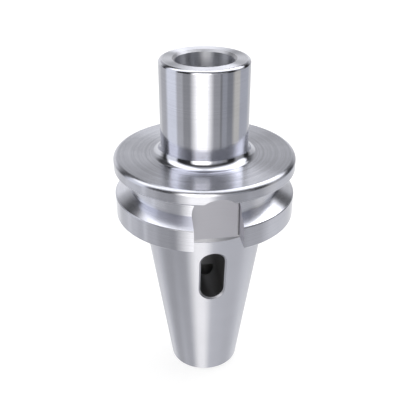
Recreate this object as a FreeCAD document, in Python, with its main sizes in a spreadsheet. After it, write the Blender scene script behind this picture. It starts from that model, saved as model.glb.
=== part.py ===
import FreeCAD, Part
import math
import os
import Sketcher
from FreeCAD import Vector

# A cone-shank holder that takes a drill or sleeve with a Morse taper, turned and
# milled from one bar of steel: a 7/24 cone for the machine spindle, a flange
# with a gripper groove and two key slots, and a round nose with a Morse socket.
# A drift slot through the cone reaches the tang of the tool in the socket. A hole
# in the small end takes the pull stud, and a narrower one leads on from it into
# the drift slot.
# Millimetres. The origin is the centre of the small end face, +Z runs along the
# axis to the nose, and the slots open towards -Y and +Y.

# Driving dimensions: the cell's alias, its value, and what it measures.
SIZES = [
    ("gauge_dia", 69.85, "cone diameter at the gauge line"),
    ("cone_length", 101.8, "small end face to the gauge line"),
    ("cone_loss", 7, "the cone loses this much diameter"),
    ("cone_run", 24, "over this much length"),
    ("end_chamfer", 1.0, "edge of the small end face"),
    ("neck_dia", 70.4, "short cylinder between cone and flange"),
    ("neck_bevel", 0.5, "height of the bevel from cone to neck"),
    ("flange_dia", 100.0, "outside of the flange"),
    ("flange_back", 3.0, "gauge line to the back face"),
    ("flange_front", 38.0, "gauge line to the front face"),
    ("back_chamfer", 0.6, "rim edge at the back face"),
    ("front_rounding", 2.5, "radius of the rim edge at the front face"),
    ("groove_centre", 23.2, "gauge line to the middle of the gripper groove"),
    ("groove_mouth", 15.0, "width of the groove at the rim"),
    ("groove_angle", 60.0, "angle between the flanks of the groove, degrees"),
    ("groove_root_dia", 85.0, "diameter at the bottom of the groove"),
    ("groove_chamfer", 0.4, "two rim edges of the groove"),
    ("nose_dia", 48.0, "outside of the nose"),
    ("nose_length", 90.0, "gauge line to the nose face"),
    ("nose_rounding", 1.8, "radius of the outer edge of the nose face"),
    ("nose_fillet", 5.0, "radius where the nose meets the flange"),
    ("socket_dia", 31.267, "Morse taper diameter at the nose face"),
    ("socket_ratio", 19.254, "length of the socket over the diameter it loses"),
    ("socket_drill", 26.5, "straight hole behind the taper"),
    ("socket_depth", 107.0, "nose face to the end of the straight hole"),
    ("socket_chamfer", 1.2, "edge of the socket at the nose face"),
    ("point_angle", 118.0, "point of the drilled holes, degrees"),
    ("drift_width", 13.4, "width of the drift slot"),
    ("drift_start", 98.7, "nose face to the upper end of the drift slot"),
    ("drift_length", 32.0, "length of the drift slot over its round ends"),
    ("drift_chamfer", 1.0, "edge of the drift slot on the cone"),
    ("key_width", 25.7, "width of a key slot"),
    ("key_floor", 35.4, "axis to the floor of a key slot"),
    ("key_length", 30.6, "back face to the crown of a key slot"),
    ("key_count", 2, "key slots, evenly round the flange"),
    ("key_lead", 1.2, "chamfer where the spindle's key enters a slot"),
    ("key_root", 0.8, "radius between the floor and the wall of a key slot"),
    ("stud_drill", 21.0, "tapping drill of the M24 thread for the pull stud"),
    ("stud_depth", 50.0, "small end face to the end of the drilled wall"),
    ("link_dia", 11.0, "hole that leads on from the stud's hole into the drift slot"),
    ("pilot_dia", 25.0, "counterbore that centres the pull stud"),
    ("pilot_depth", 11.0, "small end face to the floor of the counterbore"),
    ("pilot_chamfer", 0.5, "edge of the counterbore at the small end face"),
]

# Heights and radii that several features share.
GAUGE = "Sizes.cone_length"
BACK = f"({GAUGE} + Sizes.flange_back)"
FRONT = f"({GAUGE} + Sizes.flange_front)"
NOSE = f"({GAUGE} + Sizes.nose_length)"
GROOVE = f"({GAUGE} + Sizes.groove_centre)"
END_RADIUS = f"((Sizes.gauge_dia - {GAUGE} * Sizes.cone_loss / Sizes.cone_run) / 2)"
RIM_RADIUS = "(Sizes.flange_dia / 2)"
NOSE_RADIUS = "(Sizes.nose_dia / 2)"

# How a sketch's constraints number its own origin, axes and the points of a line or arc.
ORIGIN, ROW, COLUMN = -1, -1, -2
START, END, CENTRE = 1, 2, 3

SAME = 0.01  # lengths closer than this are taken as equal when an edge is looked for


def make_sheet():
    """The spreadsheet, with one named cell for each driving dimension."""
    cells = doc.addObject("Spreadsheet::Sheet", "Sizes")
    for row, (alias, value, meaning) in enumerate(SIZES, start=1):
        cells.set(f"A{row}", meaning)
        cells.set(f"B{row}", str(value))
        cells.setAlias(f"B{row}", alias)
    doc.recompute()
    return cells


def size(expression):
    """The present value of an expression of sheet cells."""
    return float(sheet.evalExpression(expression))


def new_sketch(name, plane, offset=None):
    """An empty sketch on one of the body's origin planes, or moved along its normal."""
    sketch = body.newObject("Sketcher::SketchObject", name)
    sketch.AttachmentSupport = (datums[plane], [""])
    sketch.MapMode = "FlatFace"
    if offset:
        sketch.setExpression("AttachmentOffset.Base.z", offset)
    return sketch


def hold(sketch, kind, *where):
    """A constraint without a size."""
    sketch.addConstraint(Sketcher.Constraint(kind, *where))


def dimension(sketch, kind, *where, by):
    """A constraint with a size, driven by an expression of sheet cells."""
    index = sketch.addConstraint(Sketcher.Constraint(kind, *where, size(by)))
    sketch.setExpression(f"Constraints[{index}]", by)


def draw_profile(sketch, corners):
    """A closed outline of straight lines through corners, each an (across, up) pair.

    A line that keeps its place across or up is held vertical or horizontal, and
    only the coordinates that change are dimensioned.
    """
    points = [Vector(size(across), size(up), 0) for across, up in corners]
    count = len(corners)
    for i in range(count):
        sketch.addGeometry(Part.LineSegment(points[i], points[(i + 1) % count]), False)
    for i in range(count):
        hold(sketch, "Coincident", i, END, (i + 1) % count, START)
    across_before = up_before = None
    for i, (across, up) in enumerate(corners):
        if across == across_before:
            hold(sketch, "Vertical", i - 1)
        elif across == "0":
            hold(sketch, "PointOnObject", i, START, COLUMN)
        else:
            dimension(sketch, "DistanceX", ORIGIN, START, i, START, by=across)
        if up == up_before:
            hold(sketch, "Horizontal", i - 1)
        elif up == "0":
            hold(sketch, "PointOnObject", i, START, ROW)
        else:
            dimension(sketch, "DistanceY", ORIGIN, START, i, START, by=up)
        across_before, up_before = across, up


def draw_circle(sketch, diameter):
    """A circle round the axis."""
    sketch.addGeometry(Part.Circle(Vector(0, 0, 0), Vector(0, 0, 1), size(diameter) / 2), False)
    hold(sketch, "Coincident", 0, CENTRE, ORIGIN, START)
    dimension(sketch, "Diameter", 0, by=diameter)


def draw_slot(sketch, width, crown, foot, round_foot):
    """A slot outline on the sketch's vertical axis, with a round crown and a round or square foot."""
    half = f"({width} / 2)"
    high = f"{crown} - {half}"
    low = f"{foot} + {half}" if round_foot else foot
    r, top, bottom = size(half), size(high), size(low)
    crown_circle = Part.Circle(Vector(0, top, 0), Vector(0, 0, 1), r)
    foot_circle = Part.Circle(Vector(0, bottom, 0), Vector(0, 0, 1), r)
    sketch.addGeometry(Part.LineSegment(Vector(r, bottom, 0), Vector(r, top, 0)), False)
    sketch.addGeometry(Part.ArcOfCircle(crown_circle, 0, math.pi), False)
    sketch.addGeometry(Part.LineSegment(Vector(-r, top, 0), Vector(-r, bottom, 0)), False)
    if round_foot:
        sketch.addGeometry(Part.ArcOfCircle(foot_circle, math.pi, 2 * math.pi), False)
    else:
        sketch.addGeometry(Part.LineSegment(Vector(-r, bottom, 0), Vector(r, bottom, 0)), False)
    foot_joint = "Tangent" if round_foot else "Coincident"
    for i, joint in enumerate(("Tangent", "Tangent", foot_joint, foot_joint)):
        hold(sketch, joint, i, END, (i + 1) % 4, START)
    hold(sketch, "Vertical", 0)
    hold(sketch, "PointOnObject", 1, CENTRE, COLUMN)
    dimension(sketch, "Radius", 1, by=half)
    dimension(sketch, "DistanceY", ORIGIN, START, 1, CENTRE, by=high)
    if round_foot:
        hold(sketch, "PointOnObject", 3, CENTRE, COLUMN)
        dimension(sketch, "DistanceY", ORIGIN, START, 3, CENTRE, by=low)
    else:
        hold(sketch, "Vertical", 2)
        hold(sketch, "Horizontal", 3)
        dimension(sketch, "DistanceY", ORIGIN, START, 3, START, by=low)


def turn(kind, name, corners):
    """A revolved solid or cut, from its half section beside the axis."""
    sketch = new_sketch(name + "_section", "XZ_Plane")
    draw_profile(sketch, corners)
    feature = body.newObject(kind, name)
    feature.Profile = sketch
    feature.ReferenceAxis = (sketch, ["V_Axis"])
    feature.Angle = 360
    doc.recompute()


def drill(name, face, diameter, depth, upward):
    """A blind hole on the axis with a drill point, from the face at that height."""
    sketch = new_sketch(name + "_circle", "XY_Plane", face)
    draw_circle(sketch, diameter)
    doc.recompute()
    hole = body.newObject("PartDesign::Hole", name)
    hole.Profile = sketch
    hole.Reversed = upward
    hole.DepthType = "Dimension"
    hole.DrillPoint = "Angled"
    hole.DrillForDepth = False
    hole.setExpression("Diameter", diameter)
    hole.setExpression("Depth", depth)
    hole.setExpression("DrillPointAngle", "Sizes.point_angle")
    doc.recompute()


def dress(kind, name, wanted, amount):
    """A chamfer or fillet on the edges of the body that a test picks."""
    edges = enumerate(body.Tip.Shape.Edges, start=1)
    picked = [f"Edge{number}" for number, edge in edges if wanted(edge)]
    base = body.Tip
    feature = body.newObject(kind, name)
    feature.Base = (base, picked)
    feature.setExpression("Size" if kind == "PartDesign::Chamfer" else "Radius", amount)
    doc.recompute()


def circle_at(radius, height):
    """A test for the circle of that radius about the axis at that height."""
    def wanted(edge):
        return (isinstance(edge.Curve, Part.Circle)
                and abs(edge.Curve.Radius - size(radius)) < SAME
                and abs(edge.Curve.Center.z - size(height)) < SAME)
    return wanted


def ends_and_middle(edge):
    """Three points of an edge."""
    first, last = edge.FirstParameter, edge.LastParameter
    return [edge.valueAt(parameter) for parameter in (first, (first + last) / 2, last)]


def on_cone(point):
    """Whether a point lies on the outside of the cone, away from its ends."""
    loss = (size(GAUGE) - point.z) * size("Sizes.cone_loss / Sizes.cone_run")
    radius = (size("Sizes.gauge_dia") - loss) / 2
    return abs(point.x ** 2 + point.y ** 2 - radius ** 2) < 2 * radius * SAME


def drift_slot_mouth(edge):
    """Whether an edge is where the drift slot breaks out of the cone."""
    reach = size("Sizes.drift_width / 2") + SAME
    return all(on_cone(point) and abs(point.x) < reach for point in ends_and_middle(edge))


def in_first_slot(point):
    """A point turned about the axis into the sector of the first key slot, which opens to -Y."""
    pitch = 2 * math.pi / round(size("Sizes.key_count"))
    angle = math.atan2(point.x, -point.y)
    angle -= round(angle / pitch) * pitch
    reach = math.hypot(point.x, point.y)
    return Vector(reach * math.sin(angle), -reach * math.cos(angle), point.z)


def key_slot_mouth(edge):
    """Whether an edge is where a wall of a key slot meets the back face."""
    points = [in_first_slot(point) for point in ends_and_middle(edge)]
    return all(abs(abs(point.x) - size("Sizes.key_width / 2")) < SAME
               and abs(point.z - size(BACK)) < SAME for point in points)


def key_slot_corner(edge):
    """Whether an edge is where the floor of a key slot meets its wall."""
    points = [in_first_slot(point) for point in ends_and_middle(edge)]
    return (all(abs(point.y + size("Sizes.key_floor")) < SAME for point in points)
            and points[1].z > size(BACK) + SAME)


doc = FreeCAD.newDocument("morse_taper_holder")
sheet = make_sheet()
body = doc.addObject("PartDesign::Body", "holder_body")
body.Label = "holder_body"
datums = {datum.Role: datum for datum in body.Origin.OriginFeatures}

# The bar turned to its outline, with every corner still sharp.
turn("PartDesign::Revolution", "turned_bar", [
    ("0", "0"),
    (END_RADIUS, "0"),
    ("Sizes.gauge_dia / 2", GAUGE),
    ("Sizes.neck_dia / 2", f"{GAUGE} + Sizes.neck_bevel"),
    ("Sizes.neck_dia / 2", BACK),
    (RIM_RADIUS, BACK),
    (RIM_RADIUS, FRONT),
    (NOSE_RADIUS, FRONT),
    (NOSE_RADIUS, NOSE),
    ("0", NOSE),
])

# The gripper groove: two sloping flanks and a flat root. The cut runs a little past the rim.
slope = "tan(Sizes.groove_angle / 2)"
past_rim = f"({RIM_RADIUS} + Sizes.groove_chamfer)"
half_past = f"(Sizes.groove_mouth / 2 + Sizes.groove_chamfer * {slope})"
half_root = f"(Sizes.groove_mouth / 2 - ({RIM_RADIUS} - Sizes.groove_root_dia / 2) * {slope})"
turn("PartDesign::Groove", "gripper_groove", [
    ("Sizes.groove_root_dia / 2", f"{GROOVE} - {half_root}"),
    (past_rim, f"{GROOVE} - {half_past}"),
    (past_rim, f"{GROOVE} + {half_past}"),
    ("Sizes.groove_root_dia / 2", f"{GROOVE} + {half_root}"),
])

# Broken and rounded edges, and the radius under the nose.
dress("PartDesign::Fillet", "rim_front_edge", circle_at(RIM_RADIUS, FRONT), "Sizes.front_rounding")
dress("PartDesign::Chamfer", "rim_back_edge", circle_at(RIM_RADIUS, BACK), "Sizes.back_chamfer")
for place, sign in (("upper", "+"), ("lower", "-")):
    mouth = circle_at(RIM_RADIUS, f"{GROOVE} {sign} Sizes.groove_mouth / 2")
    dress("PartDesign::Chamfer", f"groove_{place}_edge", mouth, "Sizes.groove_chamfer")
dress("PartDesign::Fillet", "nose_edge", circle_at(NOSE_RADIUS, NOSE), "Sizes.nose_rounding")
dress("PartDesign::Chamfer", "small_end_edge", circle_at(END_RADIUS, "0"), "Sizes.end_chamfer")
dress("PartDesign::Fillet", "nose_root", circle_at(NOSE_RADIUS, FRONT), "Sizes.nose_fillet")

# The Morse socket: a hole drilled to its full depth, then the taper reamed into it.
drill("socket_hole", NOSE, "Sizes.socket_drill", "Sizes.socket_depth", upward=False)
taper_end = f"{NOSE} - Sizes.socket_depth"
turn("PartDesign::Groove", "socket_taper", [
    ("0", NOSE),
    ("Sizes.socket_dia / 2", NOSE),
    ("(Sizes.socket_dia - Sizes.socket_depth / Sizes.socket_ratio) / 2", taper_end),
    ("0", taper_end),
])
socket_mouth = circle_at("Sizes.socket_dia / 2", NOSE)
dress("PartDesign::Chamfer", "socket_edge", socket_mouth, "Sizes.socket_chamfer")

# The drift slot, milled right through the cone and the end of the socket.
drift_crown = f"({NOSE} - Sizes.drift_start)"
drift_foot = f"({drift_crown} - Sizes.drift_length)"
drift_outline = new_sketch("drift_slot_outline", "XZ_Plane")
draw_slot(drift_outline, "Sizes.drift_width", drift_crown, drift_foot, round_foot=True)
drift_slot = body.newObject("PartDesign::Pocket", "drift_slot")
drift_slot.Profile = drift_outline
drift_slot.Type = "ThroughAll"
drift_slot.SideType = "Symmetric"
doc.recompute()
dress("PartDesign::Chamfer", "drift_slot_edge", drift_slot_mouth, "Sizes.drift_chamfer")

# The key slots: one is milled from its floor outwards and repeated round the axis.
key_outline = new_sketch("key_slot_outline", "XZ_Plane", "Sizes.key_floor")
draw_slot(key_outline, "Sizes.key_width", f"({BACK} + Sizes.key_length)", GAUGE, round_foot=False)
key_slot = body.newObject("PartDesign::Pocket", "key_slot")
key_slot.Profile = key_outline
key_slot.Type = "ThroughAll"
key_slot.Reversed = True
doc.recompute()
key_slots = body.newObject("PartDesign::PolarPattern", "key_slots")
key_slots.Originals = [key_slot]
key_slots.Axis = (datums["Z_Axis"], [""])
key_slots.Angle = 360
key_slots.setExpression("Occurrences", "Sizes.key_count")
body.Tip = key_slots
doc.recompute()
dress("PartDesign::Chamfer", "key_slot_lead", key_slot_mouth, "Sizes.key_lead")
dress("PartDesign::Fillet", "key_slot_root", key_slot_corner, "Sizes.key_root")

# The pull stud's hole in the small end: drilled for tapping, with a counterbore that centres the stud
# and a narrower hole on into the drift slot.
drill("stud_hole", "0", "Sizes.stud_drill", "Sizes.stud_depth", upward=True)
link_end = f"{drift_foot} + Sizes.drift_width / 2"
turn("PartDesign::Groove", "link_hole", [
    ("0", "Sizes.stud_depth"),
    ("Sizes.link_dia / 2", "Sizes.stud_depth"),
    ("Sizes.link_dia / 2", link_end),
    ("0", link_end),
])
pilot_outline = new_sketch("stud_pilot_circle", "XY_Plane")
draw_circle(pilot_outline, "Sizes.pilot_dia")
stud_pilot = body.newObject("PartDesign::Pocket", "stud_pilot")
stud_pilot.Profile = pilot_outline
stud_pilot.setExpression("Length", "Sizes.pilot_depth")
stud_pilot.Reversed = True
doc.recompute()
pilot_mouth = circle_at("Sizes.pilot_dia / 2", "0")
dress("PartDesign::Chamfer", "stud_pilot_edge", pilot_mouth, "Sizes.pilot_chamfer")

doc.recompute()
for item in doc.Objects:
    if "Invalid" in item.State or "Error" in item.State:
        raise RuntimeError(f"{item.Name} did not build: {item.State}")
if body.Shape.isNull() or not body.Shape.isValid() or len(body.Shape.Solids) != 1:
    raise RuntimeError(f"{body.Label} is not one sound solid")

os.makedirs("parts", exist_ok=True)
body.Shape.exportStep(f"parts/{body.Label}.step")
print(f"{body.Label}: {body.Shape.Volume:.1f} mm3")
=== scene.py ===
import math

import bmesh
import bpy
import numpy as np
from mathutils import Matrix, Vector


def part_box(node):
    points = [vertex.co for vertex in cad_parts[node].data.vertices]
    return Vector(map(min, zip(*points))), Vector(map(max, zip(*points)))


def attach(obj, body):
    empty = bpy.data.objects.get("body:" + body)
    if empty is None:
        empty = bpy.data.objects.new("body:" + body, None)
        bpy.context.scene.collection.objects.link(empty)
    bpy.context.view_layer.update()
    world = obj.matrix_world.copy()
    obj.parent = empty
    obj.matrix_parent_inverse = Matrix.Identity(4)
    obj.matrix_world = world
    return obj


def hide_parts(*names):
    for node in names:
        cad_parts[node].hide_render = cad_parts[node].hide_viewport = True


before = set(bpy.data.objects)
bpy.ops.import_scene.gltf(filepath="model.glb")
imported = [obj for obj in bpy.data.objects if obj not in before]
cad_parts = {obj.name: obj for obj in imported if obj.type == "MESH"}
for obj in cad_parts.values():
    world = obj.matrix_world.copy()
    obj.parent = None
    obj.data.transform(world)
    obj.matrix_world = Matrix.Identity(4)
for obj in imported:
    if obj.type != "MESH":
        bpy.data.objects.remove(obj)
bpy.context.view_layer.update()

# A cone-shank holder with a Morse socket, turned and milled from one bar of steel, standing
# on its small end. The body is built as one fine mesh: a turned outline, then the cuts for the
# slots, the link hole and the thread, with each face's normals taken from the true surface
# that it lies on. Sizes are in millimetres until a mesh is made; MM brings them to metres.
MM = 0.001
NODE = "holder_body"

# Sizes that the frame gives.
_, node_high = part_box(NODE)
NOSE_FACE = node_high.z / MM
RIM_RADIUS = node_high.x / MM

# Sizes of the cone, the neck and the flange.
GAUGE_LINE = 101.8
GAUGE_RADIUS = 69.85 / 2
CONE_SLOPE = 7 / 24 / 2
END_RADIUS = GAUGE_RADIUS - GAUGE_LINE * CONE_SLOPE
END_CHAMFER = 1.0
NECK_RADIUS = 70.4 / 2
NECK_BEVEL = 0.5
BACK_FACE = GAUGE_LINE + 3.0
FRONT_FACE = GAUGE_LINE + 38.0
BACK_CHAMFER = 0.6
FRONT_ROUNDING = 2.5
GROOVE_CENTRE = GAUGE_LINE + 23.2
GROOVE_HALF = 7.5
GROOVE_ROOT = 42.5
GROOVE_CHAMFER = 0.4
GROOVE_FLANK = math.radians(30)

# Sizes of the nose and its socket. A drill's point is as high as its radius over DRILL_POINT.
NOSE_RADIUS = 24.0
NOSE_ROUNDING = 1.8
NOSE_FILLET = 5.0
SOCKET_RADIUS = 31.267 / 2
SOCKET_SLOPE = 1 / 19.254 / 2
SOCKET_DRILL = 26.5 / 2
SOCKET_END = NOSE_FACE - 107.0
SOCKET_CHAMFER = 1.2
DRILL_POINT = math.tan(math.radians(118 / 2))
SOCKET_TIP = SOCKET_END - SOCKET_DRILL / DRILL_POINT

# Sizes of the slots.
DRIFT_HALF = 13.4 / 2
DRIFT_LENGTH = 32.0
DRIFT_TOP = NOSE_FACE - 98.7
DRIFT_HIGH = DRIFT_TOP - DRIFT_HALF
DRIFT_LOW = DRIFT_TOP - DRIFT_LENGTH + DRIFT_HALF
DRIFT_CHAMFER = 1.0
KEY_HALF = 25.7 / 2
KEY_LENGTH = 30.6
KEY_FLOOR = 35.4
KEY_HIGH = BACK_FACE + KEY_LENGTH - KEY_HALF
KEY_LEAD = 1.2
KEY_ROOT = 0.8

# Sizes of the pull stud's hole, with its M24 x 3 thread, and of the hole that leads on from it.
STUD_RADIUS = 21.0 / 2
STUD_END = 50.0
STUD_TIP = STUD_END + STUD_RADIUS / DRILL_POINT
LINK_RADIUS = 11.0 / 2
PILOT_RADIUS = 12.5
PILOT_DEPTH = 11.0
PILOT_CHAMFER = 0.5
THREAD_PITCH = 3.0
THREAD_RADIUS = 11.95
THREAD_FLANK = math.tan(math.radians(30))
THREAD_CREST = 0.38
THREAD_END = 44.0
THREAD_RUN_OUT = 1.0  # the turns over which the thread runs out

# How finely the mesh is divided.
ROUND_STEPS = 288  # round a turned surface
ARC_STEPS = 24  # along a rounding of the outline
END_STEPS = 2 * ARC_STEPS  # round the end of a slot
ROOT_STEPS = ARC_STEPS // 3  # across the root radius of a key slot
THREAD_STEPS = 72  # in one turn of the thread

# How far the cutters reach.
CLEAR = 3.0  # past what they cut
DRIFT_FLARE = 1.0  # past the cone, with the slope of the drift slot's broken edge
THREAD_INSIDE = 0.3  # in from the wall of the stud's hole
THREAD_LEAST = 0.02  # out from there at the end of the run-out

# How a face finds the surface that it lies on.
ON_SURFACE = 0.008  # a point this near to a surface lies on it
OFF_SURFACE = 4 * ON_SURFACE  # a face with a corner farther than this from each lies on none
EDGE_GAP = 2 * ON_SURFACE  # what the drift slot's broken edge says of its points
EDGE_REACH = 0.3  # how far past its ends that edge still takes points
FAR = 1e3  # the gap of a point that a surface can't hold
LEAST_LEAN = 0.8  # the least agreement of a face with a surface's direction
LEAN_COST = 10.0  # what less agreement adds to the gap


def in_section(p):
    """Points as their distance from the axis and their height."""
    return np.column_stack([np.hypot(p[:, 0], p[:, 1]), p[:, 2]])


def swept(p, out, up):
    """Directions at points: out is the part away from the axis and up the part along it."""
    angle = np.arctan2(p[:, 1], p[:, 0])
    return np.column_stack([out * np.cos(angle), out * np.sin(angle), up])


def lengths(rows):
    return np.linalg.norm(rows, axis=1)


class Turned:
    """A surface of the turned outline: a straight line from start to end beside the axis."""

    def __init__(self, finish, start, end):
        self.finish, self.start, self.end = finish, np.array(start), np.array(end)
        self.along = self.end - self.start
        across = np.array([self.along[1], -self.along[0]])
        self.out = across / np.linalg.norm(across)

    def outline(self):
        return [tuple(self.start)]

    def gap(self, p):
        section = in_section(p)
        share = (section - self.start) @ self.along / (self.along @ self.along)
        nearest = self.start + np.clip(share, 0, 1)[:, None] * self.along
        return lengths(section - nearest)

    def normal(self, p):
        return swept(p, self.out[0], np.full(len(p), self.out[1]))


class TurnedArc:
    """A rounded surface of the turned outline: an arc in the section, swept round the axis.

    It runs from one direction from its centre to another, in degrees, 0 away from the axis and
    90 up. A hollow arc has the steel outside it.
    """

    def __init__(self, finish, centre, radius, first, last, hollow=False):
        self.finish, self.centre, self.radius = finish, np.array(centre), radius
        self.first, self.last = math.radians(first), math.radians(last)
        self.sign = -1 if hollow else 1

    def outline(self):
        x, z = self.centre
        angles = np.linspace(self.first, self.last, ARC_STEPS + 1)[:-1]
        return [(x + self.radius * math.cos(a), z + self.radius * math.sin(a)) for a in angles]

    def gap(self, p):
        reach = in_section(p) - self.centre
        short = np.abs(lengths(reach) - self.radius)
        middle = (self.first + self.last) / 2
        toward = reach @ np.array([math.cos(middle), math.sin(middle)])
        least = self.radius * math.cos((self.last - self.first) / 2)
        return np.where(toward > least - ON_SURFACE, short, FAR)

    def normal(self, p):
        reach = self.sign * (in_section(p) - self.centre)
        reach /= lengths(reach)[:, None]
        return swept(p, reach[:, 0], reach[:, 1])


def outline_surfaces():
    """The turned surfaces in order.

    They run from the bottom of the stud's hole, round the outside, to the end of the socket.
    """
    groove_low, groove_high = GROOVE_CENTRE - GROOVE_HALF, GROOVE_CENTRE + GROOVE_HALF
    root_half = GROOVE_HALF - (RIM_RADIUS - GROOVE_ROOT) * math.tan(GROOVE_FLANK)
    flank_drop = GROOVE_CHAMFER * math.cos(GROOVE_FLANK)
    flank_rise = GROOVE_CHAMFER * math.sin(GROOVE_FLANK)
    cone_foot = END_CHAMFER * math.cos(math.atan(CONE_SLOPE))
    cone_in = END_RADIUS + cone_foot * CONE_SLOPE
    socket_drop = (SOCKET_RADIUS - SOCKET_DRILL) / SOCKET_SLOPE
    front = (RIM_RADIUS - FRONT_ROUNDING, FRONT_FACE - FRONT_ROUNDING)
    root = (NOSE_RADIUS + NOSE_FILLET, FRONT_FACE + NOSE_FILLET)
    nose = (NOSE_RADIUS - NOSE_ROUNDING, NOSE_FACE - NOSE_ROUNDING)
    # Each surface's finish, or the arc itself, with the point where it starts, and then the end.
    stops = [
        ("bored", (0.0, STUD_TIP)),
        ("bored", (STUD_RADIUS, STUD_END)),
        ("bored", (STUD_RADIUS, PILOT_DEPTH)),
        ("bored", (PILOT_RADIUS, PILOT_DEPTH)),
        ("edge", (PILOT_RADIUS, PILOT_CHAMFER)),
        ("faced", (PILOT_RADIUS + PILOT_CHAMFER, 0.0)),
        ("edge", (END_RADIUS - END_CHAMFER, 0.0)),
        ("cone", (cone_in, cone_foot)),
        ("edge", (GAUGE_RADIUS, GAUGE_LINE)),
        ("neck", (NECK_RADIUS, GAUGE_LINE + NECK_BEVEL)),
        ("faced", (NECK_RADIUS, BACK_FACE)),
        ("edge", (RIM_RADIUS - BACK_CHAMFER, BACK_FACE)),
        ("rim", (RIM_RADIUS, BACK_FACE + BACK_CHAMFER)),
        ("broken", (RIM_RADIUS, groove_low - GROOVE_CHAMFER)),
        ("groove", (RIM_RADIUS - flank_drop, groove_low + flank_rise)),
        ("groove", (GROOVE_ROOT, GROOVE_CENTRE - root_half)),
        ("groove", (GROOVE_ROOT, GROOVE_CENTRE + root_half)),
        ("broken", (RIM_RADIUS - flank_drop, groove_high - flank_rise)),
        ("rim", (RIM_RADIUS, groove_high + GROOVE_CHAMFER)),
        (TurnedArc("rounded", front, FRONT_ROUNDING, 0, 90), (RIM_RADIUS, front[1])),
        ("flange", (front[0], FRONT_FACE)),
        (TurnedArc("fillet", root, NOSE_FILLET, 270, 180, hollow=True), (root[0], FRONT_FACE)),
        ("nose", (NOSE_RADIUS, root[1])),
        (TurnedArc("edge", nose, NOSE_ROUNDING, 0, 90), (NOSE_RADIUS, nose[1])),
        ("nose_face", (nose[0], NOSE_FACE)),
        ("mouth", (SOCKET_RADIUS + SOCKET_CHAMFER, NOSE_FACE)),
        ("socket", (SOCKET_RADIUS - SOCKET_CHAMFER * SOCKET_SLOPE, NOSE_FACE - SOCKET_CHAMFER)),
        ("bored", (SOCKET_DRILL, NOSE_FACE - socket_drop)),
        ("bored", (SOCKET_DRILL, SOCKET_END)),
        (None, (0.0, SOCKET_TIP)),
    ]
    surfaces = []
    for (finish, start), (_, end) in zip(stops, stops[1:]):
        surfaces.append(finish if isinstance(finish, TurnedArc) else Turned(finish, start, end))
    return surfaces


class Slot:
    """The shape of a milled slot seen along Y.

    It has straight walls a half width from its middle line, and round ends.
    """

    def __init__(self, half, high, low):
        self.half, self.high, self.low = half, high, low

    def from_middle(self, p):
        """The steps from the middle line to points, across and up."""
        return np.column_stack([p[:, 0], p[:, 2] - np.clip(p[:, 2], self.low, self.high)])


class SlotWall:
    """The walls of a slot between two depths along Y."""

    def __init__(self, finish, slot, near, far):
        self.finish, self.slot, self.near, self.far = finish, slot, near, far

    def gap(self, p):
        inside = (np.abs(p[:, 1]) > self.near - ON_SURFACE) & (np.abs(p[:, 1]) < self.far)
        short = np.abs(lengths(self.slot.from_middle(p)) - self.slot.half)
        return np.where(inside, short, FAR)

    def normal(self, p):
        reach = self.slot.from_middle(p)
        reach /= lengths(reach)[:, None]
        return np.column_stack([-reach[:, 0], np.zeros(len(p)), -reach[:, 1]])


class DriftEdge(SlotWall):
    """The broken edge of the drift slot, midway between its wall and the cone."""

    def gap(self, p):
        radius = END_RADIUS + p[:, 2] * CONE_SLOPE
        depth = np.sqrt(np.maximum(radius ** 2 - p[:, 0] ** 2, 0)) - np.abs(p[:, 1])
        over = lengths(self.slot.from_middle(p)) - self.slot.half
        between = np.full(len(p), True)
        for reach in (depth, over):
            between &= (reach > -EDGE_REACH) & (reach < DRIFT_CHAMFER + EDGE_REACH)
        return np.where(between, EDGE_GAP, FAR)

    def normal(self, p):
        cone = swept(p, 1.0, np.full(len(p), -CONE_SLOPE))
        both = super().normal(p) + cone / math.hypot(1, CONE_SLOPE)
        return both / lengths(both)[:, None]


class KeyFloor:
    """The floors of both key slots."""

    finish = "milled"

    def gap(self, p):
        return np.abs(np.abs(p[:, 1]) - KEY_FLOOR)

    def normal(self, p):
        return np.column_stack([np.zeros(len(p)), np.sign(p[:, 1]), np.zeros(len(p))])


class KeyRoot:
    """The small radius between the floor and the wall of a key slot."""

    finish = "root"

    def __init__(self, slot):
        self.slot = slot

    def inward(self, p):
        """The way out from the slot's middle line, and the steps from the radius's centre.

        Those are across towards the middle line and deep towards the floor.
        """
        reach = self.slot.from_middle(p)
        away = lengths(reach)
        across = (self.slot.half - KEY_ROOT) - away
        deep = KEY_FLOOR + KEY_ROOT - np.abs(p[:, 1])
        return reach / np.maximum(away, ON_SURFACE)[:, None], across, deep

    def gap(self, p):
        _, across, deep = self.inward(p)
        short = np.abs(np.hypot(across, deep) - KEY_ROOT)
        return np.where((across < ON_SURFACE) & (deep > -ON_SURFACE), short, FAR)

    def normal(self, p):
        out, across, deep = self.inward(p)
        size = np.hypot(across, deep)
        into = np.sign(p[:, 1]) * deep / size
        return np.column_stack([out[:, 0] * across / size, into, out[:, 1] * across / size])


class KeyLead:
    """The chamfer where the spindle's key enters a key slot."""

    finish = "edge"

    def gap(self, p):
        over = np.abs(p[:, 0]) - KEY_HALF
        rise = p[:, 2] - BACK_FACE
        inside = (over > -ON_SURFACE) & (rise > -ON_SURFACE) & (np.abs(p[:, 1]) > KEY_FLOOR)
        return np.where(inside, np.abs(over + rise - KEY_LEAD) / math.sqrt(2), FAR)

    def normal(self, p):
        part = math.sqrt(0.5)
        return np.column_stack([-part * np.sign(p[:, 0]), np.zeros(len(p)), np.full(len(p), -part)])


def mesh_object(name, points, faces):
    """An object from points in millimetres."""
    mesh = bpy.data.meshes.new(name)
    mesh.from_pydata([tuple(MM * c for c in p) for p in points], [], faces)
    mesh.validate()
    thing = bpy.data.objects.new(name, mesh)
    bpy.context.scene.collection.objects.link(thing)
    return thing


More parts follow.
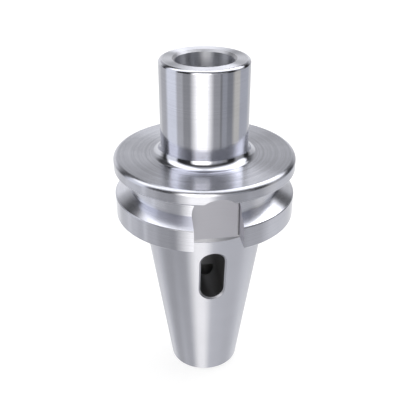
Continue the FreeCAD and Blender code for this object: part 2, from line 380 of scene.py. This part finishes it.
def ring(radius, z):
    """Points round the axis."""
    turns = [2 * math.pi * i / ROUND_STEPS for i in range(ROUND_STEPS)]
    return [(radius * math.cos(a), radius * math.sin(a), z) for a in turns]


def half_turn(first=0.0):
    """The angles of a slot's round end, from the first on."""
    return [first + math.pi * i / END_STEPS for i in range(END_STEPS + 1)]


def turned_body(surfaces):
    """The closed surface of revolution through the outline's points."""
    section = [point for surface in surfaces for point in surface.outline()]
    section.append((0.0, SOCKET_TIP))
    points, rings = [], []
    for radius, z in section:
        made = [(0.0, 0.0, z)] if radius == 0 else ring(radius, z)
        rings.append(range(len(points), len(points) + len(made)))
        points += made
    faces = []
    for low, high in zip(rings, rings[1:]):
        for i in range(ROUND_STEPS):
            j = (i + 1) % ROUND_STEPS
            if len(low) == 1:
                faces.append((low[0], high[j], high[i]))
            elif len(high) == 1:
                faces.append((low[i], low[j], high[0]))
            else:
                faces.append((low[i], low[j], high[j], high[i]))
    return mesh_object("turned_body", points, faces)


def stack(name, loops):
    """A closed solid through loops of as many points each, with a flat cap at both ends."""
    count = len(loops[0])
    points = [point for loop in loops for point in loop]
    faces = [tuple(reversed(range(count))), tuple(range(len(points) - count, len(points)))]
    for k in range(len(loops) - 1):
        for i in range(count):
            j = (i + 1) % count
            a, b = k * count, (k + 1) * count
            faces.append((a + i, a + j, b + j, b + i))
    return mesh_object(name, points, faces)


def drift_cutter():
    """The drift slot right through the cone, opened out at both mouths along the curve of the cone."""
    ends = [(DRIFT_HIGH, angle) for angle in half_turn()]
    ends += [(DRIFT_LOW, angle) for angle in half_turn(math.pi)]

    def loop(grown, side, depth=None):
        """The slot's outline grown by so much, at a depth under the cone or, without one, clear of it."""
        made = []
        for middle, angle in ends:
            x = (DRIFT_HALF + grown) * math.cos(angle)
            z = middle + (DRIFT_HALF + grown) * math.sin(angle)
            surface = math.sqrt((END_RADIUS + z * CONE_SLOPE) ** 2 - x ** 2)
            y = GAUGE_RADIUS + CLEAR if depth is None else surface - depth
            made.append((x, side * y, z))
        return made

    flare = DRIFT_CHAMFER + DRIFT_FLARE
    return stack("drift_cutter", [
        loop(flare, -1), loop(flare, -1, -DRIFT_FLARE), loop(0.0, -1, DRIFT_CHAMFER),
        loop(0.0, 1, DRIFT_CHAMFER), loop(flare, 1, -DRIFT_FLARE), loop(flare, 1),
    ])


def key_cutter(side):
    """A key slot from its floor outwards, with a root radius, a round crown and a lead chamfer."""
    foot = BACK_FACE - CLEAR

    def loop(inset, depth):
        wall = KEY_HALF - inset
        lead = BACK_FACE + KEY_LEAD - inset * (math.sqrt(2) - 1)
        mouth = KEY_HALF + BACK_FACE + KEY_LEAD - inset * math.sqrt(2) - foot
        crown = [(wall * math.cos(a), KEY_HIGH + wall * math.sin(a)) for a in half_turn()]
        outline = [(mouth, foot), (wall, lead), *crown, (-wall, lead), (-mouth, foot)]
        return [(x, side * depth, z) for x, z in outline]

    loops = []
    for i in range(ROOT_STEPS + 1):
        angle = math.pi / 2 * i / ROOT_STEPS
        inset, rise = KEY_ROOT * (1 - math.sin(angle)), KEY_ROOT * (1 - math.cos(angle))
        loops.append(loop(inset, KEY_FLOOR + rise))
    loops.append(loop(0.0, RIM_RADIUS + CLEAR))
    return stack("key_cutter", loops)


def link_cutter():
    """The narrower hole that leads on from the stud's hole into the drift slot."""
    return stack("link_cutter", [ring(LINK_RADIUS, STUD_END), ring(LINK_RADIUS, DRIFT_LOW)])


def thread_cutter():
    """The helical groove that a tap leaves in the stud's hole. It runs out at its upper end."""
    start = PILOT_DEPTH - THREAD_PITCH / 2
    turns = (THREAD_END - start) / THREAD_PITCH
    inner = STUD_RADIUS - THREAD_INSIDE
    half_crest = THREAD_CREST / 2
    loops = []
    for i in range(int(turns * THREAD_STEPS) + 1):
        turn = i / THREAD_STEPS
        angle, z = 2 * math.pi * turn, start + turn * THREAD_PITCH
        fade = min(1.0, (turns - turn) / THREAD_RUN_OUT)
        crest = inner + (THREAD_RADIUS - inner) * fade + THREAD_LEAST
        wide = half_crest + (crest - inner) * THREAD_FLANK
        section = [(inner, z - wide), (crest, z - half_crest), (crest, z + half_crest), (inner, z + wide)]
        loops.append([(r * math.cos(angle), r * math.sin(angle), h) for r, h in section])
    return stack("thread_cutter", loops)


def outward(thing):
    """The object with all its faces turned outwards."""
    work = bmesh.new()
    work.from_mesh(thing.data)
    bmesh.ops.recalc_face_normals(work, faces=work.faces)
    work.to_mesh(thing.data)
    work.free()
    return thing


def cut(body, cutters):
    """Takes the cutters from the body, as a new mesh on the same object."""
    for cutter in cutters:
        step = body.modifiers.new(cutter.name, "BOOLEAN")
        step.operation, step.solver, step.object = "DIFFERENCE", "EXACT", cutter
    bpy.context.view_layer.update()
    graph = bpy.context.evaluated_depsgraph_get()
    made = bpy.data.meshes.new_from_object(body.evaluated_get(graph))
    body.modifiers.clear()
    body.data = made
    for cutter in cutters:
        bpy.data.objects.remove(cutter)


def read(items, name, kind, width=1):
    """One property of all items of a mesh, with a row for each item where it is wider than 1."""
    values = np.empty(len(items) * width, kind)
    items.foreach_get(name, values)
    return values if width == 1 else values.reshape(-1, width)


def lay_surfaces(body, surfaces, finishes):
    """Gives each face the finish of the surface that it lies on, and its corners that surface's normals.

    That surface is the nearest one to the face's corners that faces the same way. What lies on
    none of them is the thread, which stays as cut.
    """
    mesh = body.data
    points = read(mesh.vertices, "co", float, 3) / MM
    corners = read(mesh.loops, "vertex_index", int)
    first = read(mesh.polygons, "loop_start", int)
    flat = read(mesh.polygons, "normal", float, 3)
    face_of = np.repeat(np.arange(len(first)), np.diff(np.append(first, len(corners))))
    normals = flat[face_of]
    scores = []
    for surface in surfaces:
        gap = np.maximum.reduceat(surface.gap(points)[corners], first)
        lean = np.einsum("ij,ij->i", surface.normal(points[corners]), normals)
        agrees = np.minimum.reduceat(lean, first) > LEAST_LEAN
        scores.append(gap + np.where(agrees, 0.0, LEAN_COST))
    score = np.column_stack(scores)
    chosen = score.argmin(axis=1)
    plain = score.min(axis=1) > OFF_SURFACE
    finish = np.full(len(first), finishes.index("thread"))
    for i, surface in enumerate(surfaces):
        faces = (chosen == i) & ~plain
        mine = faces[face_of]
        normals[mine] = surface.normal(points[corners[mine]])
        finish[faces] = finishes.index(surface.finish)
    mesh.polygons.foreach_set("material_index", finish)
    mesh.polygons.foreach_set("use_smooth", np.ones(len(first), bool))
    mesh.normals_split_custom_set(normals.tolist())
    mesh.update()


class Nodes:
    """A short way to write a node tree. An input is a value or another node's socket."""

    def __init__(self, tree):
        self.tree = tree
        tree.nodes.clear()

    def add(self, kind, inputs=(), **settings):
        node = self.tree.nodes.new(kind)
        for key, value in settings.items():
            setattr(node, key, value)
        for key, value in dict(inputs).items():
            if isinstance(value, bpy.types.NodeSocket):
                self.tree.links.new(value, node.inputs[key])
            else:
                node.inputs[key].default_value = value
        return node

    def math(self, operation, *values):
        return self.add("ShaderNodeMath", enumerate(values), operation=operation).outputs[0]

    def weigh(self, share, first, second):
        """A share of the first value and the rest of the second."""
        return self.math("ADD", self.math("MULTIPLY", first, share),
                         self.math("MULTIPLY", second, 1 - share))

    def smooth(self, value, low, high, bottom=0.0, top=1.0):
        """From bottom to top, with soft ends, while the value goes from low to high."""
        ends = {"Value": value, "From Min": low, "From Max": high, "To Min": bottom, "To Max": top}
        return self.add("ShaderNodeMapRange", ends, interpolation_type="SMOOTHSTEP").outputs["Result"]

    def mix(self, factor, low, high):
        """One colour at a factor of 0, another at 1."""
        ends = {"Factor": factor, "A": low, "B": high}
        return self.add("ShaderNodeMix", ends, data_type="RGBA").outputs["Result"]


# The noise in every steel. Clouds and tool marks change its tone, and tool marks and speckle
# its roughness, from SMOOTHER to ROUGHER times what is given. Scales are per metre. Of a noise
# only the stretch from NOISE_LOW to NOISE_HIGH counts.
CLOUD_SCALE = 90.0
SPECKLE_SCALE = 2600.0
CLOUDS_IN_TONE = 0.35
MARKS_IN_GLOSS = 0.35
NOISE_LOW, NOISE_HIGH = 0.3, 0.7
SMOOTHER, ROUGHER = 0.93, 1.07


def steel(name, colour, roughness, blur, lines, line_size, grain=0.06):
    """Bare steel. blur is how much wider its gleam is across the tool marks than along them, from 0 to 1.

    lines is the depth of the turning lines in micrometres and line_size how far apart they are
    in millimetres. They follow the distance from the axis plus the height, so they run round
    every turned surface. grain is how much the tone goes up and down, as a share of the colour.
    """
    material = bpy.data.materials.new(name)
    material.use_nodes = True
    nodes = Nodes(material.node_tree)
    place = nodes.add("ShaderNodeTexCoord").outputs["Object"]
    x, y, z = nodes.add("ShaderNodeSeparateXYZ", {0: place}).outputs
    away = nodes.math("SQRT", nodes.math("ADD", nodes.math("POWER", x, 2.0), nodes.math("POWER", y, 2.0)))
    along = nodes.math("ADD", away, z)
    turning = {"W": along, "Scale": 1 / (line_size * MM), "Detail": 3.0, "Roughness": 0.6}
    marks = nodes.add("ShaderNodeTexNoise", turning, noise_dimensions="1D").outputs["Fac"]
    cloud, speckle = (
        nodes.add("ShaderNodeTexNoise", {"Vector": place, "Scale": scale, "Detail": 2.0}).outputs["Fac"]
        for scale in (CLOUD_SCALE, SPECKLE_SCALE))
    tone = nodes.smooth(nodes.weigh(CLOUDS_IN_TONE, cloud, marks), NOISE_LOW, NOISE_HIGH)
    dark = [c * (1 - grain) for c in colour]
    light = [min(1.0, c * (1 + grain)) for c in colour]
    gloss = nodes.weigh(MARKS_IN_GLOSS, marks, speckle)
    rough = nodes.smooth(gloss, NOISE_LOW, NOISE_HIGH, roughness * SMOOTHER, roughness * ROUGHER)
    bump = nodes.add("ShaderNodeBump", {"Height": marks, "Strength": 1.0, "Distance": lines * MM * MM})
    tangent = nodes.add("ShaderNodeTangent", direction_type="RADIAL", axis="Z").outputs[0]
    surface = nodes.add("ShaderNodeBsdfPrincipled", {
        "Base Color": nodes.mix(tone, (*dark, 1), (*light, 1)), "Metallic": 1.0, "Roughness": rough,
        "Normal": bump.outputs[0], "Tangent": tangent, "Anisotropic": blur, "Anisotropic Rotation": 0.25})
    nodes.add("ShaderNodeOutputMaterial", {"Surface": surface.outputs[0]})
    return material


# The steel's own colour, and the finish of each surface, with painted shade in the darker colours of the
# neck, the drift slot, the key slots' root and the link hole.
STEEL = (0.595, 0.605, 0.67)
FINISHES = {
    "cone": dict(colour=STEEL, roughness=0.24, blur=0.8, lines=0.6, line_size=0.6, grain=0.03),
    # The neck's darker colour is painted shade under the flange.
    "neck": dict(colour=(0.42, 0.425, 0.46), roughness=0.5, blur=0.3, lines=2.0, line_size=0.4),
    "rim": dict(colour=STEEL, roughness=0.14, blur=0.7, lines=2.0, line_size=0.5),
    "groove": dict(colour=(0.685, 0.695, 0.765), roughness=0.2, blur=0.6, lines=2.0, line_size=0.5),
    "flange": dict(colour=STEEL, roughness=0.25, blur=0.93, lines=12.0, line_size=1.3, grain=0.1),
    "fillet": dict(colour=STEEL, roughness=0.11, blur=0.3, lines=2.0, line_size=0.5),
    "nose": dict(colour=STEEL, roughness=0.11, blur=0.7, lines=0.4, line_size=0.6),
    "nose_face": dict(colour=(0.67, 0.68, 0.74), roughness=0.42, blur=0.93, lines=6.0, line_size=0.5),
    "edge": dict(colour=STEEL, roughness=0.14, blur=0.4, lines=0.5, line_size=0.4),
    "rounded": dict(colour=STEEL, roughness=0.25, blur=0.75, lines=0.5, line_size=0.4),
    "faced": dict(colour=STEEL, roughness=0.3, blur=0.85, lines=8.0, line_size=0.5),
    "mouth": dict(colour=(0.44, 0.445, 0.48), roughness=0.42, blur=0.4, lines=2.0, line_size=0.4),
    "socket": dict(colour=(0.62, 0.63, 0.68), roughness=0.38, blur=0.88, lines=1.0, line_size=0.5),
    "bored": dict(colour=(0.5, 0.5, 0.51), roughness=0.32, blur=0.6, lines=6.0, line_size=0.5),
    "milled": dict(colour=(0.45, 0.45, 0.5), roughness=0.36, blur=0.0, lines=3.0, line_size=0.7,
                   grain=0.02),
    # The drift slot's walls are darkened: painted shade inside the slot.
    "slot": dict(colour=(0.22, 0.22, 0.23), roughness=0.62, blur=0.0, lines=3.0, line_size=0.7),
    # The root radius is darkened: painted shade in the crease between floor and wall.
    "root": dict(colour=(0.3, 0.3, 0.33), roughness=0.5, blur=0.0, lines=1.0, line_size=0.7),
    # The link hole is darkened: painted shade deep inside the hole.
    "link": dict(colour=(0.25, 0.25, 0.26), roughness=0.6, blur=0.0, lines=3.0, line_size=0.7),
    "broken": dict(colour=STEEL, roughness=0.4, blur=0.0, lines=0.5, line_size=0.4),
    "thread": dict(colour=(0.5, 0.5, 0.51), roughness=0.3, blur=0.0, lines=1.0, line_size=0.3),
}


def make_body():
    """The whole holder, which stands for the CAD node."""
    turned = outline_surfaces()
    drift = Slot(DRIFT_HALF, DRIFT_HIGH, DRIFT_LOW)
    key = Slot(KEY_HALF, KEY_HIGH, 0.0)  # open at its lower end
    surfaces = turned + [
        SlotWall("slot", drift, 0.0, GAUGE_RADIUS),
        DriftEdge("broken", drift, 0.0, GAUGE_RADIUS),
        Turned("link", (LINK_RADIUS, DRIFT_LOW), (LINK_RADIUS, STUD_END)),
        KeyFloor(),
        SlotWall("milled", key, KEY_FLOOR + KEY_ROOT, RIM_RADIUS + CLEAR),
        KeyRoot(key),
        KeyLead(),
    ]
    body = outward(turned_body(turned))
    cutters = [drift_cutter(), key_cutter(-1), key_cutter(1), link_cutter(), thread_cutter()]
    cut(body, [outward(cutter) for cutter in cutters])
    finishes = list(FINISHES)
    body.data.materials.clear()
    for name in finishes:
        body.data.materials.append(steel(name, **FINISHES[name]))
    lay_surfaces(body, surfaces, finishes)
    body.name = "holder"
    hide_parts(NODE)
    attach(body, "root")


# The floor: half its side, the grey of its paint and the glow that brings it up to white.
FLOOR_HALF = 3000.0
FLOOR_PAINT = 0.4
FLOOR_GLOW = 0.7


def grey(level):
    return (level, level, level, 1.0)


def make_floor():
    """A plain pale floor that blends into the white background and keeps a faint shadow."""
    corners = [(FLOOR_HALF * x, FLOOR_HALF * y, 0) for x, y in ((-1, -1), (1, -1), (1, 1), (-1, 1))]
    floor = mesh_object("floor", corners, [(0, 1, 2, 3)])
    material = bpy.data.materials.new("floor")
    material.use_nodes = True
    nodes = Nodes(material.node_tree)
    paint = nodes.add("ShaderNodeBsdfDiffuse", {"Color": grey(FLOOR_PAINT)})
    glow = nodes.add("ShaderNodeEmission", {"Color": grey(1.0), "Strength": FLOOR_GLOW})
    both = nodes.add("ShaderNodeAddShader", {0: paint.outputs[0], 1: glow.outputs[0]})
    nodes.add("ShaderNodeOutputMaterial", {"Surface": both.outputs[0]})
    floor.data.materials.append(material)
    floor.visible_glossy = False
    floor.visible_diffuse = False


# The studio round the holder, as the steel reflects it. It is rings of boards, one above the
# other, each board (from azimuth, to azimuth, level, tint), in degrees from the camera, right
# of it positive. The light runs on evenly from one board to the next.
PLAIN, COOL, WARM, CREAM = (1.0, 1.0, 1.0), (0.97, 0.99, 1.04), (1.03, 1.0, 0.9), (1.0, 0.98, 0.93)
CAMERA_AZIMUTH = -9.0
BRIGHTEST = 4.0
FLOOR_BOARDS = [
    (-180, -135, 0.8, PLAIN), (-120, -96, 0.6, PLAIN), (-82, -70, 0.76, PLAIN), (-64, -46, 0.62, PLAIN),
    (-22, 0, 1.32, CREAM), (22, 58, 0.76, PLAIN), (80, 120, 0.66, PLAIN), (150, 180, 0.8, PLAIN),
]
SKIRT_BOARDS = [
    (-180, -170, 0.63, PLAIN), (-160, -158, 0.78, PLAIN), (-148, -132, 0.96, PLAIN),
    (-119, -117, 0.7, PLAIN), (-95, -78, 0.4, PLAIN), (-68, -52, 0.46, PLAIN), (-42, -40, 0.5, PLAIN),
    (-19, 2, 1.46, CREAM), (22, 30, 0.82, PLAIN), (38, 92, 0.78, PLAIN), (108, 112, 0.84, PLAIN),
    (124, 130, 0.92, PLAIN), (144, 148, 0.9, PLAIN), (168, 180, 1.02, PLAIN),
]
KNEE_BOARDS = [
    (-180, -158, 1.07, PLAIN), (-152, -142, 0.91, PLAIN), (-134, -118, 0.75, PLAIN),
    (-115, -110, 0.83, PLAIN), (-107, -97, 0.72, PLAIN), (-92, -85, 0.63, PLAIN), (-83, -81, 0.82, PLAIN),
    (-76, -65, 0.61, PLAIN), (-58, -46, 0.48, PLAIN), (-43, -37, 0.43, PLAIN), (-16, 6, 1.52, CREAM),
    (17, 24, 0.68, PLAIN), (31, 53, 0.49, PLAIN), (58, 76, 0.57, PLAIN), (93, 140, 0.81, PLAIN),
    (165, 180, 0.95, PLAIN),
]
LOW_BOARDS = [
    (-180, -142, 0.78, PLAIN), (-134, -113, 0.6, PLAIN), (-104, -77, 1.03, COOL), (-71, -57, 0.61, PLAIN),
    (-53, -37, 0.39, PLAIN), (-16, 5, 1.9, CREAM), (24, 38, 0.45, PLAIN), (41, 43, 0.26, PLAIN),
    (46, 56, 0.44, COOL), (60, 72, 0.31, COOL), (82, 96, 0.7, WARM), (101, 134, 0.57, COOL),
    (146, 157, 0.71, PLAIN), (162, 180, 0.86, PLAIN),
]
SIDE_BOARDS = [
    (-180, -135, 0.95, PLAIN), (-117, -109, 0.06, PLAIN), (-101, -74, 1.03, COOL),
    (-68, -35, 0.04, PLAIN), (-18, 4, 4.0, CREAM), (20, 27, 0.6, PLAIN), (33, 43, 0.43, COOL),
    (48, 54, 0.33, PLAIN), (61, 77, 0.03, PLAIN), (86, 106, 0.44, PLAIN), (116, 130, 0.03, PLAIN),
    (146, 153, 0.62, PLAIN), (164, 180, 0.95, PLAIN),
]
HIGH_BOARDS = [
    (-180, -146, 0.64, PLAIN), (-121, -109, 0.04, PLAIN), (-101, -76, 1.2, PLAIN),
    (-68, -34, 0.04, PLAIN), (-20, 8, 2.2, CREAM), (20, 22, 0.36, PLAIN), (36, 38, 0.17, PLAIN),
    (50, 76, 0.05, PLAIN), (90, 108, 0.42, PLAIN), (117, 134, 0.04, PLAIN), (142, 144, 0.16, PLAIN),
    (163, 180, 0.52, PLAIN),
]
# The rings above the floor's: boards, and from where to where they take over, in degrees up.
RINGS = [
    (SKIRT_BOARDS, -53.0, -47.0), (KNEE_BOARDS, -41.0, -35.0), (LOW_BOARDS, -26.5, -23.0),
    (SIDE_BOARDS, -14.5, -10.5), (HIGH_BOARDS, 15.0, 22.0),
]
# The dark gap over the rings: where it begins and where it is full, in degrees up.
GAP_BEGINS, GAP_FULL = 25.0, 36.0
GAP_LEVEL = 0.08
# The pale ceiling over the gap: (azimuth, where it begins, where it is full), in degrees up.
# In the ramp those heights are shares of CEILING_TOP.
CEILING = [
    (-180, 31, 42), (-160, 38, 58), (-142, 48, 78), (-125, 44, 74), (-113, 31, 50), (-102, 19, 36),
    (-80, 15, 34), (-66, 16, 56), (-54, 30, 68), (-38, 40, 84), (-22, 42, 110), (25, 42, 110),
    (38, 40, 96), (52, 38, 80), (66, 32, 72), (78, 24, 66), (86, 17, 56), (96, 12, 30), (112, 14, 25),
    (126, 24, 34), (141, 35, 45), (160, 33, 42), (180, 31, 42),
]
CEILING_LEVEL = 1.9
CEILING_TOP = 120.0
# A softbox high at the back on the right, in degrees. Its edges fade out over a share of its
# half width or height to both sides of its outline.
SOFTBOX_AZIMUTH, SOFTBOX_HEIGHT = 130.0, 52.0
SOFTBOX_HALF_WIDTH, SOFTBOX_HALF_HEIGHT = 18.0, 10.0
SOFTBOX_SIDE_EDGE, SOFTBOX_TOP_EDGE = 0.2, 0.3
SOFTBOX_LEVEL = 4.0


def share_of_turn(azimuth):
    """An azimuth as a share of a turn: 0 behind the holder, a quarter at its left, a half in front."""
    return (azimuth + 180) / 360


def azimuth_ramp(nodes, turn, stops):
    """A colour by share of a turn."""
    ramp = nodes.add("ShaderNodeValToRGB", {0: turn})
    elements = ramp.color_ramp.elements
    while len(elements) < len(stops):
        elements.new(0.5)
    for element, (azimuth, colour) in zip(elements, stops):
        element.position = share_of_turn(azimuth)
        element.color = (*colour, 1)
    return ramp.outputs[0]


def board_ramp(nodes, turn, boards):
    """A ring of boards. Levels are kept as shares of the brightest, as a ramp holds no more than 1."""
    stops = []
    for first, last, level, tint in boards:
        colour = [min(1.0, level * c / BRIGHTEST) for c in tint]
        stops += [(first, colour), (last, colour)]
    return azimuth_ramp(nodes, turn, stops)


def bearing(nodes):
    """Where a ray goes: its azimuth as a share of a turn, and its height in degrees."""
    toward = nodes.add("ShaderNodeSeparateXYZ", {0: nodes.add("ShaderNodeTexCoord").outputs["Generated"]})
    across, ahead, up = toward.outputs
    angle = nodes.math("ARCTAN2", across, nodes.math("MULTIPLY", ahead, -1.0))
    shifted = nodes.math("SUBTRACT", angle, math.radians(CAMERA_AZIMUTH))
    turn = nodes.math("FRACT", nodes.math("ADD", nodes.math("DIVIDE", shifted, 2 * math.pi), 0.5))
    return turn, nodes.math("DEGREES", nodes.math("ARCSINE", up))


def with_boards(nodes, turn, height):
    """The rings of boards, blended upwards into one another and into the gap."""
    room = board_ramp(nodes, turn, FLOOR_BOARDS)
    for ring_boards, begins, full in RINGS:
        room = nodes.mix(nodes.smooth(height, begins, full), room, board_ramp(nodes, turn, ring_boards))
    return nodes.mix(nodes.smooth(height, GAP_BEGINS, GAP_FULL), room, grey(GAP_LEVEL / BRIGHTEST))


def with_ceiling(nodes, turn, height, room):
    """The room with its ceiling, whose edge lies higher or lower by azimuth."""
    stops = []
    for azimuth, begins, full in CEILING:
        stops.append((azimuth, (begins / CEILING_TOP, full / CEILING_TOP, 0)))
    edge = nodes.add("ShaderNodeSeparateColor", {0: azimuth_ramp(nodes, turn, stops)})
    begins, full = (nodes.math("MULTIPLY", edge.outputs[i], CEILING_TOP) for i in (0, 1))
    return nodes.mix(nodes.smooth(height, begins, full), room, grey(CEILING_LEVEL / BRIGHTEST))


def with_softbox(nodes, turn, height, room):
    """The room with the softbox in it."""
    aside = nodes.math("ABSOLUTE", nodes.math("SUBTRACT", turn, share_of_turn(SOFTBOX_AZIMUTH)))
    above = nodes.math("ABSOLUTE", nodes.math("SUBTRACT", height, SOFTBOX_HEIGHT))
    wide = nodes.smooth(aside, SOFTBOX_HALF_WIDTH * (1 - SOFTBOX_SIDE_EDGE) / 360,
                        SOFTBOX_HALF_WIDTH * (1 + SOFTBOX_SIDE_EDGE) / 360, 1.0, 0.0)
    high = nodes.smooth(above, SOFTBOX_HALF_HEIGHT * (1 - SOFTBOX_TOP_EDGE),
                        SOFTBOX_HALF_HEIGHT * (1 + SOFTBOX_TOP_EDGE), 1.0, 0.0)
    return nodes.mix(nodes.math("MULTIPLY", wide, high), room, grey(SOFTBOX_LEVEL / BRIGHTEST))


def make_studio():
    """White to the camera, and to everything else the rings of boards under the ceiling."""
    world = bpy.data.worlds.new("studio")
    bpy.context.scene.world = world
    world.use_nodes = True
    nodes = Nodes(world.node_tree)
    turn, height = bearing(nodes)
    room = with_boards(nodes, turn, height)
    room = with_ceiling(nodes, turn, height, room)
    room = with_softbox(nodes, turn, height, room)
    lit = nodes.add("ShaderNodeBackground", {"Color": room, "Strength": BRIGHTEST})
    white = nodes.add("ShaderNodeBackground", {"Color": grey(1.0), "Strength": 1.0})
    seen = nodes.add("ShaderNodeLightPath").outputs["Is Camera Ray"]
    mixed = nodes.add("ShaderNodeMixShader", {0: seen, 1: lit.outputs[0], 2: white.outputs[0]})
    nodes.add("ShaderNodeOutputWorld", {"Surface": mixed.outputs[0]})


# The camera, in millimetres and degrees, as it was fitted to the photograph.
CAMERA_PLACE = Vector((-51.22, -323.39, 284.34))
CAMERA_AIM = Vector((-2.434, 0.385, 108.98))
CAMERA_ROLL = -0.067
CAMERA_LENS = 58.353
CAMERA_SENSOR = 36.0


def make_camera():
    """The photograph's viewpoint."""
    data = bpy.data.cameras.new("camera")
    data.sensor_width, data.lens = CAMERA_SENSOR, CAMERA_LENS
    data.clip_start, data.clip_end = 0.01, 20.0
    camera = bpy.data.objects.new("camera", data)
    bpy.context.scene.collection.objects.link(camera)
    facing = (CAMERA_AIM - CAMERA_PLACE).to_track_quat("-Z", "Y").to_matrix()
    turn = facing @ Matrix.Rotation(math.radians(CAMERA_ROLL), 3, "Z")
    camera.matrix_world = Matrix.Translation(CAMERA_PLACE * MM) @ turn.to_4x4()
    bpy.context.scene.camera = camera


make_camera()
make_studio()
make_floor()
make_body()
bpy.context.scene.view_settings.view_transform = "Standard"
